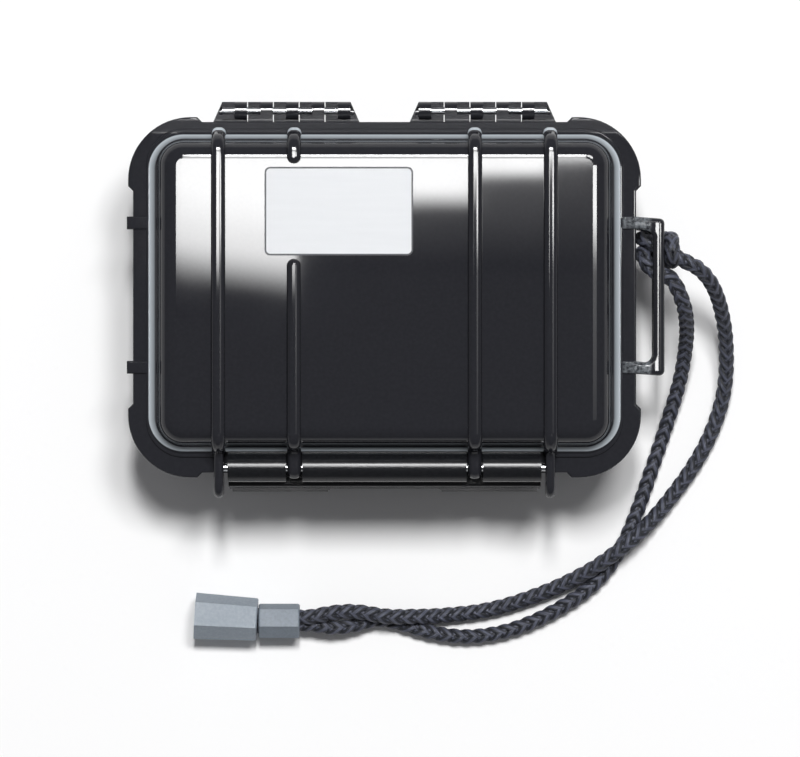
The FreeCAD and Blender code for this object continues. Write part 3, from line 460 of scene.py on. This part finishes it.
def yarn_rings(line):
    """Vertices round a yarn, ring by ring."""
    last = len(line) - 1
    vertices = []
    for i, (centre, out) in enumerate(line):
        ahead = line[min(i + 1, last)][0] - line[max(i - 1, 0)][0]
        across = ahead.cross(out).normalized()
        for j in range(YARN_SIDES):
            turn = FULL_TURN * j / YARN_SIDES
            wide = across * (YARN_WIDE * math.cos(turn))
            vertices.append(centre + wide + out * (YARN_THICK * math.sin(turn)))
    return vertices


def yarn_faces(points, first, yarn):
    """Faces between the rings of a yarn, and the map places of their corners."""
    along = distances(points)
    last = len(points) - 1
    faces = []
    marks = []
    for i in range(last):
        near = along[i] / PITCH
        far = along[i + 1] / PITCH
        for j in range(YARN_SIDES):
            corner = first + i * YARN_SIDES + j
            beside = first + i * YARN_SIDES + (j + 1) % YARN_SIDES
            faces.append((corner, beside, beside + YARN_SIDES, corner + YARN_SIDES))
            left = j / YARN_SIDES + yarn
            right = (j + 1) / YARN_SIDES + yarn
            marks += [(near, left), (near, right), (far, right), (far, left)]
    end = first + last * YARN_SIDES
    faces.append(tuple(first + j for j in reversed(range(YARN_SIDES))))
    faces.append(tuple(end + j for j in range(YARN_SIDES)))
    marks += [(0.0, yarn)] * YARN_SIDES * 2
    return faces, marks


def braid(name, points, radius, flip=1.0):
    """Braided cord of eight flat yarns, four each way, over two and under two.

    A flip of -1 swaps over and under.
    """
    vertices = []
    faces = []
    marks = []
    for way in (1, -1):
        for yarn in range(YARNS):
            line = yarn_line(points, radius - YARN_THICK - YARN_RISE, yarn / YARNS, way, flip)
            new_faces, new_marks = yarn_faces(points, len(vertices), yarn)
            vertices += yarn_rings(line)
            faces += new_faces
            marks += new_marks
    mesh = bpy.data.meshes.new(name)
    mesh.from_pydata(vertices, [], faces)
    layer = mesh.uv_layers.new(name="yarn")
    for loop, mark in zip(layer.data, marks):
        loop.uv = mark
    mesh.shade_smooth()
    mesh.materials.append(cord_material)
    piece = bpy.data.objects.new(name, mesh)
    scene.collection.objects.link(piece)
    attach(piece, "base")
    return piece


cord_material = cord_braid()
outer_points = spline_points(OUTER_HALF)
inner_points = spline_points(INNER_HALF)
outer_cord = braid("cord_outer_braid", outer_points, BRAID_R)
inner_cord = braid("cord_inner_braid", inner_points, BRAID_R, flip=-1.0)
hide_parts("cord_strand_outer", "cord_hitch")
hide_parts("cord_strand_inner")


# Stopper knot: a trefoil inside the end piece
KNOT_STEPS = 60
KNOT_LOBES = 3
KNOT_TURNS = 2
KNOT_HALF_LENGTH = 0.0027
KNOT_SCALE = 0.00062
KNOT_RING = 2.0
KNOT_BRAID_R = 0.0019

low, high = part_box("cord_knot")
knot_middle = (low + high) / 2
knot_route = []
for step in range(KNOT_STEPS + 1):
    turn = FULL_TURN * step / KNOT_STEPS
    reach = KNOT_SCALE * (KNOT_RING + math.cos(KNOT_LOBES * turn))
    knot_route.append(knot_middle + Vector((
        KNOT_HALF_LENGTH * math.sin(KNOT_LOBES * turn),
        reach * math.cos(KNOT_TURNS * turn),
        reach * math.sin(KNOT_TURNS * turn),
    )))
knot = braid("cord_knot_braid", knot_route, KNOT_BRAID_R)
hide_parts("cord_knot")


# Floor, a little under the case
FLOOR_HALF = 6.0
FLOOR_DROP = 0.0001
FLOOR_COLOUR = (0.95, 0.95, 0.95, 1)

floor_mesh = bpy.data.meshes.new("floor")
floor_corners = [(FLOOR_HALF * x, FLOOR_HALF * y, 0) for x, y in ((-1, -1), (1, -1), (1, 1), (-1, 1))]
floor_mesh.from_pydata(floor_corners, [], [(0, 1, 2, 3)])
floor = bpy.data.objects.new("floor", floor_mesh)
floor.location.z = -FLOOR_DROP
scene.collection.objects.link(floor)
paper = MaterialNodes("floor")
floor_mesh.materials.append(paper.set(Base_Color=FLOOR_COLOUR, Roughness=0.9, Specular_IOR_Level=0.1))


# Lamps
def lamp(name, place, wide, high, radiance):
    """Area lamp that faces the origin."""
    light = bpy.data.lights.new(name, "AREA")
    light.shape = "RECTANGLE"
    light.size = wide
    light.size_y = high
    light.energy = radiance * math.pi * wide * high
    holder = bpy.data.objects.new(name, light)
    holder.location = place
    holder.rotation_euler = (-Vector(place)).to_track_quat("-Z", "Y").to_euler()
    scene.collection.objects.link(holder)


lamp("back_key", place=(0.0, 1.12, 2.9), wide=0.32, high=0.7, radiance=82.5)
lamp("right_key", place=(0.6, 1.06, 2.9), wide=0.6, high=0.6, radiance=34.5)


# Cards that only glossy surfaces mirror: they light nothing else and throw no shadow
CARD_HEIGHT = 0.9
# Edges of the cards over the lid, from left to right and from front to back
LID_CARDS_LEFT = -0.094
MIDDLE_CARD_LEFT = -0.04
RIGHT_CARD_LEFT = 0.0366
END_CARD_LEFT = 0.069
LID_CARDS_RIGHT = 0.09
LEFT_CARD_FRONT = 0.0
LID_CARDS_FRONT = 0.02
LID_CARDS_BACK = 0.074
# Edges of the cards to the right of those and behind them
SIDE_BOX_X = (0.1225, 0.5)
SIDE_BOX_FRONT = -0.09
BAR_CARD_X = (0.1154, 0.1168)
BAR_CARD_Y = (-0.04, 0.06)
BACK_CARD_Y = (0.104, 0.3)


def light_card(name, x_range, y_range, steps, lean=0.0):
    """Card with a glow that grows from front to back.

    Each step is where its glow starts, where it is full, and its radiance.
    """
    corners = [(x, y, CARD_HEIGHT) for x in x_range for y in y_range]
    mesh = bpy.data.meshes.new(name)
    mesh.from_pydata(corners, [], [(0, 1, 3, 2)])
    card = bpy.data.objects.new(name, mesh)
    scene.collection.objects.link(card)
    look = MaterialNodes(name)
    spot = look.axes(look.place)
    slant = look.math("MULTIPLY", look.math("SUBTRACT", spot["X"], x_range[0]), lean)
    depth = look.math("ADD", spot["Y"], slant)
    glow = 0.0
    for start, full, radiance in steps:
        glow = look.math("ADD", glow, look.smooth(depth, start, full, 0.0, radiance))
    mesh.materials.append(look.set(
        Base_Color=(0, 0, 0, 1), Emission_Color=(1, 1, 1, 1), Emission_Strength=glow,
    ))
    card.visible_camera = False
    card.visible_diffuse = False
    card.visible_shadow = False


light_card(
    "softbox_left", (LID_CARDS_LEFT, MIDDLE_CARD_LEFT), (LEFT_CARD_FRONT, LID_CARDS_BACK),
    [(0.0145, 0.036, 31.5), (0.03, 0.06, 10.5), (LEFT_CARD_FRONT, 0.033, 0.6)], lean=0.15,
)
light_card(
    "softbox_middle", (MIDDLE_CARD_LEFT, RIGHT_CARD_LEFT), (LID_CARDS_FRONT, LID_CARDS_BACK),
    [(0.0452, 0.0572, 42.0), (LID_CARDS_FRONT, 0.0512, 1.2)],
)
light_card(
    "softbox_right", (RIGHT_CARD_LEFT, END_CARD_LEFT), (LID_CARDS_FRONT, LID_CARDS_BACK),
    [(0.0583, 0.0653, 42.0), (LID_CARDS_FRONT, 0.0618, 2.0)],
)
light_card(
    "softbox_end", (END_CARD_LEFT, LID_CARDS_RIGHT), (LID_CARDS_FRONT, LID_CARDS_BACK),
    [(0.0652, 0.0712, 42.0), (LID_CARDS_FRONT, 0.0682, 1.6)],
)
light_card(
    "side_box", SIDE_BOX_X, (SIDE_BOX_FRONT, LID_CARDS_BACK),
    [(0.02, 0.05, 36.0), (SIDE_BOX_FRONT, 0.035, 3.0)],
)
light_card("bar_card", BAR_CARD_X, BAR_CARD_Y, [(-0.038, -0.026, 38.0)])
light_card("softbox_back", (LID_CARDS_LEFT, LID_CARDS_RIGHT), BACK_CARD_Y, [(BACK_CARD_Y[0], 0.11, 20.0)])


# World: dim above, with a light strip along the horizon
HORIZON_Z = 0.05
SKY_Z = 0.16
HORIZON_GLOW = 0.8
SKY_GLOW = 0.15
WORLD_COLOUR = (1.0, 1.0, 1.03, 1)

world = bpy.data.worlds.new("world")
scene.world = world
world.use_nodes = True
tree = world.node_tree
place = tree.nodes.new("ShaderNodeTexCoord")
axes = tree.nodes.new("ShaderNodeSeparateXYZ")
tree.links.new(place.outputs["Generated"], axes.inputs[0])
fade = tree.nodes.new("ShaderNodeMapRange")
fade.interpolation_type = "SMOOTHSTEP"
fade.inputs["From Min"].default_value = HORIZON_Z
fade.inputs["From Max"].default_value = SKY_Z
fade.inputs["To Min"].default_value = HORIZON_GLOW
fade.inputs["To Max"].default_value = SKY_GLOW
tree.links.new(axes.outputs["Z"], fade.inputs["Value"])
background = tree.nodes["Background"]
background.inputs["Color"].default_value = WORLD_COLOUR
tree.links.new(fade.outputs[0], background.inputs["Strength"])
